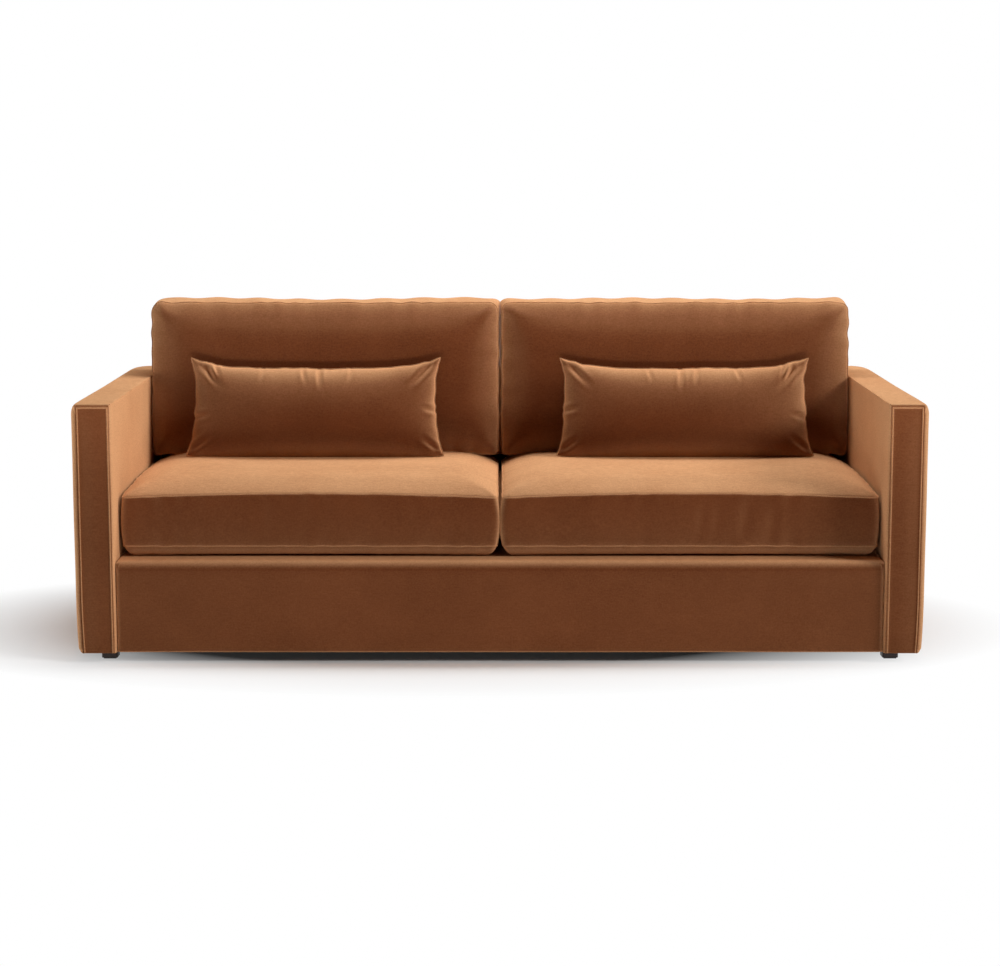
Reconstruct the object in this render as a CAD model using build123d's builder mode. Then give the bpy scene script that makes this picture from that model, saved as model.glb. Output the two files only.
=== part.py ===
from build123d import *
import os
from math import cos, radians, sin, tan

# A sofa with two seat cushions, two back cushions and two lumbar pillows between track arms.
# Millimetres. +Z is up, the front faces -Y, and the origin is on the floor under the middle.

os.makedirs("parts", exist_ok=True)

# Whole sofa
overall_width = 2134.0
overall_depth = 1016.0
arm_height = 659.0
arm_width = 96.0
base_clearance = 26.0  # floor to the underside of the frame

# Cloth, padding and clearances
cover = 2.5  # upholstery cloth with its backing
arm_foam = 12.0
back_foam = 20.0
deck_foam = 24.0
lining = 1.5  # dust cover
edge_roll = 10.0  # radius of the padded edges of arms and back
soft_gap = 0.3  # between soft pieces that lie against each other

# Timber
rail_thickness = 25.0
rail_height = 200.0
low_rail_height = 100.0  # rear rail and middle stretcher
top_board = 25.0  # board along the top of an arm or of the back
back_rail_height = 45.0
middle_post_width = 60.0
foot_block_width = 98.0
foot_block_depth = 90.0  # front blocks; the rear ones fill the space between two rails
foot_block_height = 40.0

# Front of the base
base_setback = 12.0  # front rail panel behind the arm fronts
front_roll = 30.0  # radius of the rolled top edge
deck_seam_setback = 100.0  # seam of panel and deck cloth behind the arm fronts

# Back
back_lean = 5.0  # degrees
back_depth = 125.0  # at its top
web_width = 60.0
web_thickness = 2.0
upright_webs = 4  # in each half of the back
cross_webs = 3
cross_web_spacing = 105.0
cross_web_overlap = 22.0  # onto each back post

# Seat webbing
seat_web_width = 70.0
seat_web_thickness = 2.0
seat_webs_long = 14  # from front to rear
seat_webs_cross = 6
seat_web_edge = 3.0  # end of a band to the outer edge of its rail

# Feet
foot_side = 40.0
foot_corner = 3.0
foot_setback = 55.0  # behind the arm front, and ahead of the rear
foot_inset = 51.0  # inside the outer face of the arm
glide_height = 3.0
glide_side = 32.0
bolt_radius = 4.0
bolt_in_foot = 16.0
bolt_end = 4.0  # above the tee nut
bolt_play = 0.3
tee_flange_radius = 11.0  # to the corners of the flange
tee_flange_sides = 6
tee_flange = 1.5
tee_barrel_radius = 5.5
tee_barrel = 12.0

# Seat cushions
cushion_split = 2.0  # between left and right cushions
seat_side_gap = 5.0  # cushion to arm
seat_setback = 75.0  # front of the cushion behind the arm fronts
seat_rear_gap = 45.0  # cushion to inside back
seat_boxing = 126.0
seat_crown = 40.0
seat_crown_reach = 130.0
seat_under_crown = 28.0
seat_under_reach = 46.0
seat_corner = 26.0
seat_pull = 4.0  # sides drawn in between the corners
boxing_puff = 3.0
seat_foam_margin = 26.0  # foam slab inside the outline of the cover
seat_foam_low = 14.0
seat_foam_height = 128.0

# Back cushions
back_side_gap = 0.5  # cushion to arm
back_cushion_height = 438.0
back_boxing = 190.0
back_crown = 40.0
back_crown_reach = 150.0
back_rear_crown = 10.0
back_rear_reach = 40.0
back_corner = 34.0
back_pull = 5.0
back_cushion_sink = 17.8  # rear lower edge below the top of the seat
back_fill_margin = 30.0
back_fill_low = 12.0
back_fill_height = 176.0

# Lumbar pillows
pillow_width = 705.0  # between the lower corners
pillow_height = 273.0  # from corner to corner
pillow_thickness = 112.0
pillow_reach = 80.0
pillow_top_narrowing = 8.0  # each upper corner stands in from the lower one
pillow_top_pull = 25.0
pillow_side_pull = 20.0
pillow_base_pull = 1.0
pillow_face_pull = 0.6  # share of the drawn-in curve that is left in the middle of the face
pillow_fill_margin = 30.0
pillow_fill_thickness = 84.0
pillow_fill_bevel = 36.0
pillow_lean = 14.0  # degrees
pillow_spacing = 1010.0  # between the middles of the two pillows
pillow_stand = 89.6  # lower seam ahead of the crown of the back cushion

# Outlines that a stuffed form is lofted through, from a seam to the middle of a face
upper_steps = 4
under_steps = 2
pillow_steps = 4

# Planes and spans that follow from the sizes
half_width = overall_width / 2
front_y = -overall_depth / 2
rear_y = overall_depth / 2
arm_inner = half_width - arm_width
wood_inner = arm_inner + cover + arm_foam
wood_outer = half_width - cover - arm_foam
wood_front = front_y + cover + arm_foam
wood_rear = rear_y - cover
wood_low = base_clearance + lining
wood_top = arm_height - cover - arm_foam
post_top = wood_top - top_board
rail_top = wood_low + rail_height
low_rail_top = wood_low + low_rail_height
block_top = wood_low + foot_block_height
panel_front = front_y + base_setback
rail_front = panel_front + cover + arm_foam
rail_rear = rail_front + rail_thickness
web_top = rail_top + 2 * seat_web_thickness
deck_top = web_top + deck_foam + cover
deck_seam = front_y + deck_seam_setback
web_depth = cover + back_foam
back_wood = web_depth + 2 * web_thickness
lean = radians(back_lean)


def back_line(height, depth=0.0):
    """Y of the plane that lies depth behind the face of the inside back, at a height."""
    return rear_y - back_depth + (height - arm_height) * tan(lean) + depth / cos(lean)


seat_rail_rear = back_line(wood_low, web_depth)
seat_rail_front = seat_rail_rear - rail_thickness
side_rail_inner = wood_outer - rail_thickness
block_rear_front = seat_rail_rear
SIDES = (("left", -1), ("right", 1))


def save(piece, name):
    """Label a finished piece and write it under its own name."""
    piece.part.label = name
    export_step(piece.part, f"parts/{name}.step")


def side_span(side, inner, outer):
    """The X span between two distances from the middle, on one side of the sofa."""
    return tuple(sorted((side * inner, side * outer)))


def block(x_span, y_span, z_span, mode=Mode.ADD):
    """The space between two X, two Y and two Z planes, in the part being built."""
    with BuildSketch(Plane.XY.offset(z_span[0])) as outline:
        with Locations((sum(x_span) / 2, sum(y_span) / 2)):
            Rectangle(x_span[1] - x_span[0], y_span[1] - y_span[0])
    extrude(outline.sketch, amount=z_span[1] - z_span[0], mode=mode)


def prism(points, x_span, mode=Mode.ADD, rounded=(), radius=0.0):
    """A side-view outline of (y, z) points, drawn out along X, with some corners rounded."""
    with BuildSketch(Plane.YZ.offset(x_span[0])) as outline:
        with BuildLine():
            Polyline(*points, close=True)
        make_face()
        for y, z in rounded:
            corner = outline.vertices().sort_by_distance((y, z))[0]
            fillet(corner, radius=radius)
    extrude(outline.sketch, amount=x_span[1] - x_span[0], mode=mode)


def board(name, x_span, y_span, z_span):
    """A straight timber board."""
    with BuildPart() as piece:
        block(x_span, y_span, z_span)
    save(piece, name)


# Timber seat box: tall rails on edge, a stretcher under the webbing and a block for each foot
board("front_rail", (-wood_inner, wood_inner), (rail_front, rail_rear), (wood_low, rail_top))
board(
    "seat_rear_rail",
    (-side_rail_inner, side_rail_inner),
    (seat_rail_front, seat_rail_rear),
    (wood_low, rail_top),
)
board(
    "middle_stretcher",
    (-rail_thickness / 2, rail_thickness / 2),
    (rail_rear, seat_rail_front),
    (wood_low, low_rail_top),
)
board(
    "rear_rail",
    (-wood_inner, wood_inner),
    (wood_rear - rail_thickness, wood_rear),
    (wood_low, low_rail_top),
)
for side_name, side in SIDES:
    board(
        f"side_rail_{side_name}",
        side_span(side, side_rail_inner, wood_outer),
        (rail_rear, block_rear_front),
        (wood_low, rail_top),
    )

# Feet stand under the arms, one at each corner
foot_x = half_width - foot_inset - foot_side / 2
foot_y = rear_y - foot_setback - foot_side / 2
foot_places = [(side * foot_x, end * foot_y) for _, side in SIDES for end in (-1, 1)]

# Foot blocks: drilled through for the foot bolt and the barrel of its tee nut
with BuildPart() as foot_blocks:
    for _, side in SIDES:
        span = side_span(side, side_rail_inner - foot_block_width, side_rail_inner)
        block(span, (rail_rear, rail_rear + foot_block_depth), (wood_low, block_top))
        block(span, (block_rear_front, wood_rear - rail_thickness), (wood_low, block_top))
    with BuildSketch(Plane.XY.offset(wood_low)):
        with Locations(*foot_places):
            Circle(tee_barrel_radius)
    extrude(amount=foot_block_height, mode=Mode.SUBTRACT)
save(foot_blocks, "foot_blocks")

# Arm frames: a front post, a back post that leans with the back, and a board along the top.
# The back post stands on its foot block, with a recess that clears the tee nut.
back_post_outline = [
    (back_line(block_top, back_wood), block_top),
    (back_line(post_top, back_wood), post_top),
    (wood_rear, post_top),
    (wood_rear, block_top),
]
for side_name, side in SIDES:
    frame_span = side_span(side, wood_inner, wood_outer)
    board(f"arm_front_post_{side_name}", frame_span, (wood_front, rail_rear), (wood_low, post_top))
    board(f"arm_top_rail_{side_name}", frame_span, (wood_front, wood_rear), (post_top, wood_top))
    with BuildPart() as back_post:
        prism(back_post_outline, frame_span)
        with BuildSketch(Plane.XY.offset(block_top)):
            with Locations((side * foot_x, foot_y)):
                Circle(tee_flange_radius + bolt_play)
        extrude(amount=tee_flange + 2 * bolt_end, mode=Mode.SUBTRACT)
    save(back_post, f"back_post_{side_name}")

# Back frame between the posts
with BuildPart() as back_top_rail:
    top_rail_outline = [
        (back_line(post_top, back_wood), post_top),
        (back_line(wood_top, back_wood), wood_top),
        (wood_rear, wood_top),
        (wood_rear, post_top),
    ]
    prism(top_rail_outline, (-wood_inner, wood_inner))
save(back_top_rail, "back_top_rail")

with BuildPart() as back_middle_post:
    middle_post_outline = [
        (back_line(low_rail_top, back_wood), low_rail_top),
        (back_line(post_top, back_wood), post_top),
        (wood_rear, post_top),
        (wood_rear, low_rail_top),
    ]
    prism(middle_post_outline, (-middle_post_width / 2, middle_post_width / 2))
save(back_middle_post, "back_middle_post")

back_rail_low = deck_top
back_rail_top = back_rail_low + back_rail_height
with BuildPart() as back_lower_rails:
    lower_rail_outline = [
        (back_line(back_rail_low, back_wood), back_rail_low),
        (back_line(back_rail_top, back_wood), back_rail_top),
        (back_line(back_rail_top, back_wood + rail_thickness), back_rail_top),
        (back_line(back_rail_low, back_wood + rail_thickness), back_rail_low),
    ]
    for _, side in SIDES:
        prism(lower_rail_outline, side_span(side, middle_post_width / 2, wood_inner))
save(back_lower_rails, "back_lower_rails")

# Seat webbing: elastic bands from rail to rail, and cross bands over them from arm to arm
web_front = rail_front + seat_web_edge
web_rear = seat_rail_rear - seat_web_edge
web_reach = wood_outer - seat_web_edge
long_web_bay = 2 * wood_inner / seat_webs_long
cross_web_bay = (seat_rail_front - rail_rear) / seat_webs_cross
with BuildPart() as seat_webs_lengthwise:
    with BuildSketch(Plane((0, (web_front + web_rear) / 2, rail_top))):
        with GridLocations(long_web_bay, 0, seat_webs_long, 1):
            Rectangle(seat_web_width, web_rear - web_front)
    extrude(amount=seat_web_thickness)
save(seat_webs_lengthwise, "seat_webs_lengthwise")

with BuildPart() as seat_webs_crosswise:
    cross_level = rail_top + seat_web_thickness
    with BuildSketch(Plane((0, (rail_rear + seat_rail_front) / 2, cross_level))):
        with GridLocations(0, cross_web_bay, 1, seat_webs_cross):
            Rectangle(2 * web_reach, seat_web_width)
    extrude(amount=seat_web_thickness)
save(seat_webs_crosswise, "seat_webs_crosswise")

# Back webbing: upright bands on the timber, and cross bands over them
web_middle = (wood_top + back_rail_low) / 2
web_length = (wood_top - back_rail_low) / cos(lean) - 2 * web_thickness
web_plane = Plane(
    origin=(0, back_line(web_middle, back_wood), web_middle),
    x_dir=(1, 0, 0),
    z_dir=(0, -cos(lean), sin(lean)),
)
web_bay = (wood_inner - middle_post_width / 2) / upright_webs
with BuildPart() as back_webs_upright:
    with BuildSketch(web_plane):
        for _, side in SIDES:
            for index in range(upright_webs):
                with Locations((side * (middle_post_width / 2 + web_bay * (index + 0.5)), 0)):
                    Rectangle(web_width, web_length)
    extrude(amount=web_thickness)
save(back_webs_upright, "back_webs_upright")

with BuildPart() as back_webs_cross:
    with BuildSketch(web_plane.offset(web_thickness)):
        with GridLocations(0, cross_web_spacing, 1, cross_webs):
            Rectangle(2 * (wood_inner + cross_web_overlap), web_width)
    extrude(amount=web_thickness)
save(back_webs_cross, "back_webs_cross")


# Arm upholstery: foam round the timber, and four cloth panels sewn along the rolled edges
tuck_height = web_top
arm_rim = arm_height - edge_roll
inside_arm_outline = [
    (front_y, base_clearance),
    (front_y, arm_height),
    (back_line(arm_height, web_depth), arm_height),
    (back_line(tuck_height, web_depth), tuck_height),
    (rail_front, tuck_height),
    (rail_front, base_clearance),
]
behind_arm_outline = [
    (rail_front, base_clearance),
    (rail_front, tuck_height),
    (back_line(tuck_height, web_depth), tuck_height),
    (back_line(wood_top, web_depth), wood_top),
    (rear_y, wood_top),
    (rear_y, base_clearance),
]


def arm_block(piece, side, inset):
    """A square-edged arm, drawn in by inset on every face, and its upright and top edges."""
    block(
        side_span(side, arm_inner + inset, half_width - inset),
        (front_y + inset, rear_y - inset),
        (base_clearance, arm_height - inset),
    )
    return piece.edges().filter_by(Axis.Z) + piece.edges().group_by(Axis.Z)[-1]


def arm_foam_block(side):
    """The outside of an arm's foam, with its edges cut off to lie under the rolled cloth."""
    with BuildPart() as foam:
        edges = arm_block(foam, side, cover)
        chamfer(edges, length=2 * (edge_roll - cover) * (1 - cos(radians(45))))
    return foam


def arm_cloth(piece, side):
    """The cloth round a whole arm, open underneath."""
    edges = arm_block(piece, side, 0.0)
    fillet(edges, radius=edge_roll)
    add(arm_foam_block(side).part, mode=Mode.SUBTRACT)


for side_name, side in SIDES:
    inner_edge_span = side_span(side, arm_inner, arm_inner + edge_roll)
    with BuildPart() as arm_padding:
        add(arm_foam_block(side).part)
        block(
            side_span(side, wood_inner, wood_outer),
            (wood_front, rear_y),
            (base_clearance, wood_top),
            mode=Mode.SUBTRACT,
        )
        prism(behind_arm_outline, side_span(side, arm_inner, wood_inner), mode=Mode.SUBTRACT)
    save(arm_padding, f"arm_padding_{side_name}")

    with BuildPart() as arm_front_panel:
        arm_cloth(arm_front_panel, side)
        block(
            side_span(side, arm_inner + edge_roll, half_width - edge_roll),
            (front_y, front_y + cover),
            (base_clearance, arm_rim),
            mode=Mode.INTERSECT,
        )
    save(arm_front_panel, f"arm_front_panel_{side_name}")

    with BuildPart() as arm_top_panel:
        arm_cloth(arm_top_panel, side)
        block(
            side_span(side, arm_inner, half_width),
            (front_y, rear_y),
            (arm_rim, arm_height),
            mode=Mode.INTERSECT,
        )
    save(arm_top_panel, f"arm_top_panel_{side_name}")

    with BuildPart() as arm_inside_panel:
        arm_cloth(arm_inside_panel, side)
        prism(inside_arm_outline, inner_edge_span, mode=Mode.INTERSECT)
        block(inner_edge_span, (front_y, rear_y), (arm_rim, arm_height), mode=Mode.SUBTRACT)
    save(arm_inside_panel, f"arm_inside_panel_{side_name}")

    with BuildPart() as arm_outside_panel:
        arm_cloth(arm_outside_panel, side)
        block(
            side_span(side, half_width - edge_roll, half_width),
            (front_y, rear_y),
            (base_clearance, arm_rim),
            mode=Mode.INTERSECT,
        )
    save(arm_outside_panel, f"arm_outside_panel_{side_name}")


# Front rail upholstery: foam and cloth up the rail and over its rolled top edge
def rolled_front(inset):
    """Side-view outline of the front rail's upholstery, drawn in by inset."""
    face = panel_front + inset
    crest = deck_top - inset
    roll = front_roll - inset
    with BuildLine() as outline:
        Line((face, base_clearance), (face, crest - roll))
        TangentArc((face, crest - roll), (face + roll, crest), tangent=(0, 1))
        Line((face + roll, crest), (deck_seam, crest))
        Line((deck_seam, crest), (deck_seam, base_clearance))
        Line((deck_seam, base_clearance), (face, base_clearance))
    make_face(outline.edges())


seat_span = (-arm_inner, arm_inner)
with BuildPart() as front_rail_padding:
    with BuildSketch(Plane.YZ.offset(-arm_inner)):
        rolled_front(cover)
    extrude(amount=2 * arm_inner)
    block(seat_span, (rail_front, deck_seam), (base_clearance, web_top), mode=Mode.SUBTRACT)
save(front_rail_padding, "front_rail_padding")

with BuildPart() as front_rail_panel:
    with BuildSketch(Plane.YZ.offset(-arm_inner)):
        rolled_front(0.0)
    extrude(amount=2 * arm_inner)
    with BuildSketch(Plane.YZ.offset(-arm_inner)):
        rolled_front(cover)
    extrude(amount=2 * arm_inner, mode=Mode.SUBTRACT)
save(front_rail_panel, "front_rail_panel")

# Deck: a pad over the webbing and the cloth that the cushions lie on
deck_rear = back_line(web_top) - soft_gap
board("deck_pad", seat_span, (deck_seam, deck_rear), (web_top, deck_top - cover))
board("deck_cloth", seat_span, (deck_seam, deck_rear), (deck_top - cover, deck_top))


# Back upholstery: foam and cloth over the webbing and the top board, and a plain outside panel
def back_outline(inset):
    """Side-view corners of the upholstered back, drawn in by inset on the front, top and rear."""
    return [
        (back_line(tuck_height, inset), tuck_height),
        (back_line(arm_height - inset, inset), arm_height - inset),
        (rear_y - inset, arm_height - inset),
        (rear_y - inset, tuck_height),
    ]


def back_form(inset, mode=Mode.ADD):
    """The upholstered back between the arms, with its top edges rolled."""
    corners = back_outline(inset)
    prism(corners, seat_span, mode=mode, rounded=corners[1:3], radius=edge_roll - inset)


webbing_outline = [
    (back_line(tuck_height, web_depth), tuck_height),
    (back_line(wood_top, web_depth), wood_top),
    (rear_y, wood_top),
    (rear_y, tuck_height),
]
with BuildPart() as back_padding:
    back_form(cover)
    prism(webbing_outline, seat_span, mode=Mode.SUBTRACT)
save(back_padding, "back_padding")

with BuildPart() as inside_back_cover:
    back_form(0.0)
    back_form(cover, mode=Mode.SUBTRACT)
    block(seat_span, (wood_rear, rear_y), (tuck_height, arm_rim), mode=Mode.SUBTRACT)
save(inside_back_cover, "inside_back_cover")

board(
    "outside_back_cover",
    (edge_roll - half_width, half_width - edge_roll),
    (wood_rear, rear_y),
    (base_clearance, arm_rim),
)

# Dust cover under the frame, with a square cut for each foot bolt
with BuildPart() as dust_cover:
    block((-wood_outer, wood_outer), (rail_front, wood_rear), (base_clearance, wood_low))
    with BuildSketch(Plane.XY.offset(base_clearance)):
        with Locations(*foot_places):
            Rectangle(2 * (bolt_radius + bolt_play), 2 * (bolt_radius + bolt_play))
    extrude(amount=lining, mode=Mode.SUBTRACT)
save(dust_cover, "dust_cover")

# Feet: square blocks with eased corners, each bored for its hanger bolt
bolt_foot = base_clearance - bolt_in_foot
for (place_x, place_y), end_name in zip(foot_places, ("front", "rear") * len(SIDES)):
    side_name = "left" if place_x < 0 else "right"
    with BuildPart() as foot:
        with BuildSketch(Plane.XY.offset(glide_height)):
            with Locations((place_x, place_y)):
                Rectangle(foot_side, foot_side)
        extrude(amount=base_clearance - glide_height)
        chamfer(foot.edges().filter_by(Axis.Z), length=foot_corner)
        with BuildSketch(Plane.XY.offset(bolt_foot)):
            with Locations((place_x, place_y)):
                Circle(bolt_radius)
        extrude(amount=bolt_in_foot, mode=Mode.SUBTRACT)
    save(foot, f"foot_{end_name}_{side_name}")

with BuildPart() as foot_bolts:
    with BuildSketch(Plane.XY.offset(bolt_foot)):
        with Locations(*foot_places):
            Circle(bolt_radius)
    extrude(amount=block_top + tee_flange + bolt_end - bolt_foot)
save(foot_bolts, "foot_bolts")

with BuildPart() as foot_tee_nuts:
    with BuildSketch(Plane.XY.offset(block_top - tee_barrel)):
        with Locations(*foot_places):
            Circle(tee_barrel_radius)
    extrude(amount=tee_barrel)
    with BuildSketch(Plane.XY.offset(block_top)):
        with Locations(*foot_places):
            RegularPolygon(tee_flange_radius, side_count=tee_flange_sides)
    extrude(amount=tee_flange)
    with BuildSketch(Plane.XY.offset(block_top - tee_barrel)):
        with Locations(*foot_places):
            Circle(bolt_radius)
    extrude(amount=tee_barrel + tee_flange, mode=Mode.SUBTRACT)
save(foot_tee_nuts, "foot_tee_nuts")

with BuildPart() as foot_glides:
    with BuildSketch():
        with Locations(*foot_places):
            Rectangle(glide_side, glide_side)
    extrude(amount=glide_height)
save(foot_glides, "foot_glides")


# Stuffed pieces: lofts through outlines that draw in between their corners
def cushion_outline(width, depth, corner, pull):
    """A rounded rectangle whose four sides draw in by pull between the corners."""
    right = width / 2
    rear = depth / 2
    knee = corner * (1 - cos(radians(45)))
    stops = [
        (corner - right, -rear),
        (right - corner, -rear),
        (right, corner - rear),
        (right, rear - corner),
        (right - corner, rear),
        (corner - right, rear),
        (-right, rear - corner),
        (-right, corner - rear),
    ]
    middles = [
        (0, pull - rear),
        (right - knee, knee - rear),
        (right - pull, 0),
        (right - knee, rear - knee),
        (0, rear - pull),
        (knee - right, rear - knee),
        (pull - right, 0),
        (knee - right, knee - rear),
    ]
    with BuildLine() as outline:
        for start, middle, stop in zip(stops, middles, stops[1:] + stops[:1]):
            ThreePointArc(start, middle, stop)
    make_face(outline.edges())


def crown(seam_height, rise, seam_inset, reach, steps):
    """Heights and insets of the outlines from a seam to the middle of a domed face."""
    angles = [radians(90 * step / steps) for step in range(steps + 1)]
    return [(seam_height + rise * sin(a), seam_inset + reach * (1 - cos(a))) for a in angles]


def boxed_form(plane, width, depth, boxing, corner, pull, under, upper):
    """A cushion of two domed faces and a puffed boxing, standing on its under face."""
    under_rise, under_reach = under
    upper_rise, upper_reach = upper
    high_seam = under_rise + boxing
    stages = [
        crown(under_rise, -under_rise, boxing_puff, under_reach, under_steps),
        [(under_rise, boxing_puff), (under_rise + boxing / 2, 0.0), (high_seam, boxing_puff)],
        crown(high_seam, upper_rise, boxing_puff, upper_reach, upper_steps),
    ]
    with BuildPart() as form:
        for stage in stages:
            for height, inset in stage:
                with BuildSketch(plane.offset(height)):
                    cushion_outline(width - 2 * inset, depth - 2 * inset, corner, pull)
            loft(ruled=True)
    return form


def slab(plane, width, depth, height):
    """A plain block of filling on a plane."""
    with BuildPart() as filling:
        with BuildSketch(plane):
            Rectangle(width, depth)
        extrude(amount=height)
    return filling


def save_cover(form, hollow, name):
    """Write a stuffed form as a cover, with the hollow that its filling lies in."""
    with BuildPart() as cover_piece:
        add(form.part)
        add(hollow.part, mode=Mode.SUBTRACT)
    save(cover_piece, name)


seat_width = arm_inner - seat_side_gap - cushion_split / 2
seat_x = (cushion_split + seat_width) / 2
seat_front = front_y + seat_setback
seat_rear = back_line(deck_top) - seat_rear_gap
seat_low = deck_top + soft_gap
seat_top = seat_low + seat_under_crown + seat_boxing + seat_crown
seat_depth = seat_rear - seat_front
foam_width = seat_width - 2 * seat_foam_margin
foam_depth = seat_depth - 2 * seat_foam_margin
for side_name, side in SIDES:
    seat_plane = Plane((side * seat_x, (seat_front + seat_rear) / 2, seat_low))
    seat_form = boxed_form(
        seat_plane,
        seat_width,
        seat_depth,
        seat_boxing,
        seat_corner,
        seat_pull,
        (seat_under_crown, seat_under_reach),
        (seat_crown, seat_crown_reach),
    )
    foam_plane = seat_plane.offset(seat_foam_low)
    foam_room = slab(
        foam_plane.offset(-soft_gap),
        foam_width + 2 * soft_gap,
        foam_depth + 2 * soft_gap,
        seat_foam_height + 2 * soft_gap,
    )
    save_cover(seat_form, foam_room, f"seat_cushion_cover_{side_name}")
    save(slab(foam_plane, foam_width, foam_depth, seat_foam_height), f"seat_cushion_core_{side_name}")

# Back cushions lean on the inside back, with their lower rear edge behind the crown of the seat
back_cushion_middle = seat_top - back_cushion_sink + back_cushion_height / 2 * cos(lean)
back_cushion_width = arm_inner - back_side_gap - cushion_split / 2
back_cushion_x = (cushion_split + back_cushion_width) / 2
fill_width = back_cushion_width - 2 * back_fill_margin
fill_depth = back_cushion_height - 2 * back_fill_margin
for side_name, side in SIDES:
    lean_plane = Plane(
        origin=(side * back_cushion_x, back_line(back_cushion_middle), back_cushion_middle),
        x_dir=(1, 0, 0),
        z_dir=(0, -cos(lean), sin(lean)),
    )
    rest_plane = lean_plane.offset(soft_gap)
    back_form_outside = boxed_form(
        rest_plane,
        back_cushion_width,
        back_cushion_height,
        back_boxing,
        back_corner,
        back_pull,
        (back_rear_crown, back_rear_reach),
        (back_crown, back_crown_reach),
    )
    fill_plane = rest_plane.offset(back_fill_low)
    fill_room = slab(
        fill_plane.offset(-soft_gap),
        fill_width + 2 * soft_gap,
        fill_depth + 2 * soft_gap,
        back_fill_height + 2 * soft_gap,
    )
    save_cover(back_form_outside, fill_room, f"back_cushion_cover_{side_name}")
    save(slab(fill_plane, fill_width, fill_depth, back_fill_height), f"back_cushion_fill_{side_name}")


# Lumbar pillows: two panels sewn edge to edge, with pointed corners and drawn-in sides
def pillow_outline(share):
    """The pillow's outline at a share of the way from the seam to the middle of a face."""
    inset = pillow_reach * share
    draw = 1 - share * (1 - pillow_face_pull)
    low = inset - pillow_height / 2
    high = pillow_height / 2 - inset
    low_half = pillow_width / 2 - inset
    high_half = low_half - pillow_top_narrowing
    side_half = (low_half + high_half) / 2 - pillow_side_pull * draw
    with BuildLine() as outline:
        ThreePointArc((-low_half, low), (0, low + pillow_base_pull * draw), (low_half, low))
        ThreePointArc((low_half, low), (side_half, 0), (high_half, high))
        ThreePointArc((high_half, high), (0, high - pillow_top_pull * draw), (-high_half, high))
        ThreePointArc((-high_half, high), (-side_half, 0), (-low_half, low))
    make_face(outline.edges())


def pillow_form(plane):
    """Both halves of a pillow, each swelling from the seam to the middle of its face."""
    with BuildPart() as form:
        for facing in (1, -1):
            for share in [step / pillow_steps for step in range(pillow_steps + 1)]:
                swell = pillow_thickness / 2 * (1 - (1 - share) ** 2)
                with BuildSketch(plane.offset(facing * swell)):
                    pillow_outline(share)
            loft(ruled=True)
    return form


def pillow_filling(plane, grow):
    """A flat insert, bevelled towards its edges, larger by grow on every side."""
    margin = pillow_fill_margin - grow
    with BuildPart() as filling:
        with BuildSketch(plane):
            Rectangle(pillow_width - 2 * margin, pillow_height - 2 * margin)
        extrude(amount=pillow_fill_thickness / 2 + grow, both=True)
        faces = filling.faces().sort_by(Axis(plane.origin, plane.z_dir))
        chamfer(faces[0].edges() + faces[-1].edges(), length=pillow_fill_bevel)
    return filling


pillow_tilt = radians(pillow_lean)
back_cushion_depth = soft_gap + back_rear_crown + back_boxing + back_crown
pillow_low_y = back_line(seat_top) - back_cushion_depth - pillow_stand
pillow_middle_y = pillow_low_y + pillow_height / 2 * sin(pillow_tilt)
pillow_middle_z = seat_top + soft_gap + pillow_height / 2 * cos(pillow_tilt)
for side_name, side in SIDES:
    pillow_plane = Plane(
        origin=(side * pillow_spacing / 2, pillow_middle_y, pillow_middle_z),
        x_dir=(1, 0, 0),
        z_dir=(0, -cos(pillow_tilt), sin(pillow_tilt)),
    )
    pillow_room = pillow_filling(pillow_plane, soft_gap)
    save_cover(pillow_form(pillow_plane), pillow_room, f"lumbar_cover_{side_name}")
    save(pillow_filling(pillow_plane, 0.0), f"lumbar_insert_{side_name}")
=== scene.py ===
import math

import bpy
import numpy as np
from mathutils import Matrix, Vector
from mathutils.kdtree import KDTree


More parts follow.
